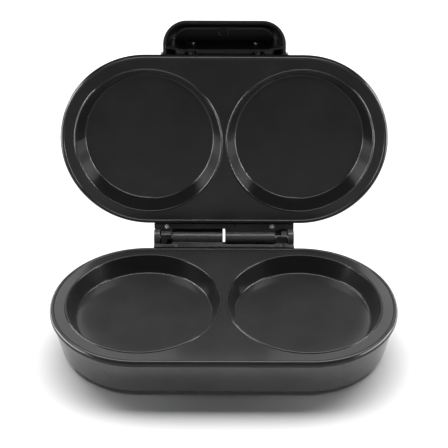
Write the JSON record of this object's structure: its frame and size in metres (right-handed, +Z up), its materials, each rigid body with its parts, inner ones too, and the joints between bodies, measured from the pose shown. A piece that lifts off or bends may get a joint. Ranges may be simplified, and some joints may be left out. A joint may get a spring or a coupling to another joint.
{
  "type": "electric omelette maker",
  "caption": "Countertop omelette maker with a hinged lid, round cups in coated plates, a front lift handle and rounded plastic casings.",
  "frame": {"origin": "on the table under the feet, below the middle of the base casing", "axes": "+Z up, +Y to the back, where the hinge is, +X across the cups"},
  "size_m": [0.255, 0.2107, 0.2064],
  "materials": {
    "casing_plastic": "satin, finely textured moulded plastic",
    "coated_plate": "cast aluminium under a satin dark non-stick coating",
    "hinge_plastic": "satin moulded nylon",
    "handle_plastic": "glossy black moulded plastic",
    "pin_steel": "plain steel rod",
    "screw_steel": "zinc plated steel",
    "brass": "plain brass",
    "rubber": "matt black rubber",
    "heater_sheath": "heat-darkened steel tube",
    "clip_steel": "sheet steel",
    "reflector_aluminium": "bright aluminised sheet",
    "thermostat_metal": "metal cap over a moulded body",
    "fuse_metal": "tinned metal can",
    "pale_plastic": "heat-resistant cream moulding",
    "lead_insulation": "silicone or glass-sleeve insulated lead",
    "red_lens": "translucent red lens",
    "green_lens": "translucent green lens",
    "lamp_glass": "small glass lamp"
  },
  "bodies": {
    "base": {"base_casing": "casing_plastic", "lower_plate": "coated_plate", "lower_hinge_leaf": "hinge_plastic", "hinge_pins": "pin_steel", "lower_leaf_screws": "screw_steel", "lower_plate_screws": "screw_steel", "rubber_feet": "rubber", "lower_heater": "heater_sheath", "lower_heater_clips": "clip_steel", "lower_clip_screws": "screw_steel", "lower_reflector": "reflector_aluminium", "thermostat": "thermostat_metal", "thermostat_screws": "screw_steel", "thermal_fuse": "fuse_metal", "terminal_block": "pale_plastic", "terminal_screws": "brass", "base_leads": "lead_insulation", "cord_gland": "rubber"},
    "lid": {"lid_casing": "casing_plastic", "upper_plate": "coated_plate", "upper_hinge_leaf": "hinge_plastic", "upper_leaf_screws": "screw_steel", "upper_plate_screws": "screw_steel", "screw_plugs": "casing_plastic", "upper_heater": "heater_sheath", "upper_heater_clips": "clip_steel", "upper_clip_screws": "screw_steel", "upper_reflector": "reflector_aluminium", "handle": "handle_plastic", "handle_screws": "screw_steel", "power_lens": "red_lens", "ready_lens": "green_lens", "lamp_holder": "pale_plastic", "indicator_lamps": "lamp_glass", "upper_leads": "lead_insulation"}
  },
  "joints": [
    {"name": "lid_hinge", "type": "hinge", "parent": "base", "child": "lid", "pos_m": [0, 0.07958, 0.038], "axis": [1, 0, 0], "range_deg": [0, 102.5]}
  ]
}
